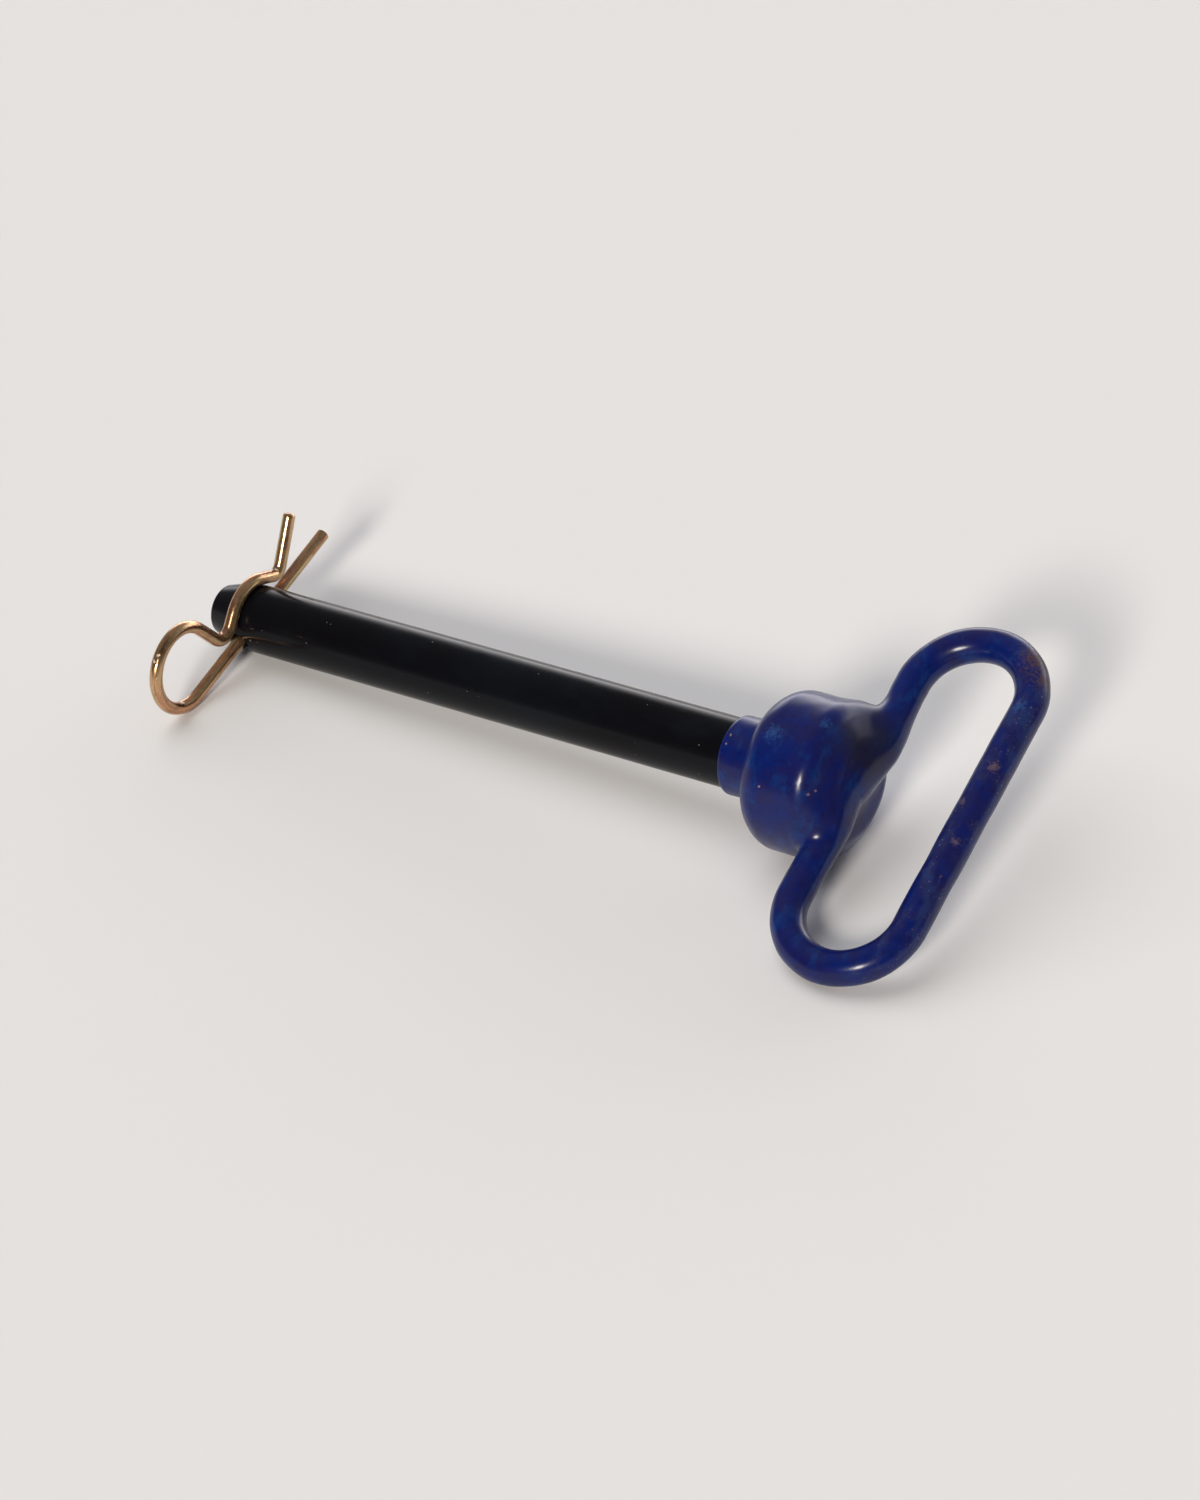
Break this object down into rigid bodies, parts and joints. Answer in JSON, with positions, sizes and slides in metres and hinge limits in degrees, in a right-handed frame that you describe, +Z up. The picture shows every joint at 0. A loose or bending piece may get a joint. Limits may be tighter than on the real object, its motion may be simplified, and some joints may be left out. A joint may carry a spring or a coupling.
{
  "type": "hitch pin",
  "caption": "Steel hitch pin: round shank with bevelled tip and cross hole, domed head with a dipped loop handle, and a removable spring-wire hairpin clip.",
  "frame": {"origin": "on the floor, under the middle of the resting pin's box", "axes": "+Z up; the pin lies along X with its loop handle at +X and its tip at -X; the clip's straight leg points to +Y"},
  "size_m": [0.247, 0.1028, 0.0471],
  "materials": {
    "black_steel": "glossy black over forged and drawn steel, with fine pale specks",
    "blue_coating": "satin-gloss navy dipped plastic, faintly mottled",
    "yellow_zinc": "yellow dichromate zinc plate, bright, with pink and green iridescence"
  },
  "bodies": {
    "pin": {"pin_forging": "black_steel", "dipped_coating": "blue_coating"},
    "clip": {"hairpin_clip": "yellow_zinc"}
  },
  "joints": [
    {"name": "clip_pull", "type": "slide", "parent": "pin", "child": "clip", "axis": [0.0159, -0.9698, -0.2436], "range_m": [0, 0.046], "deforming": ["hairpin_clip"]}
  ]
}
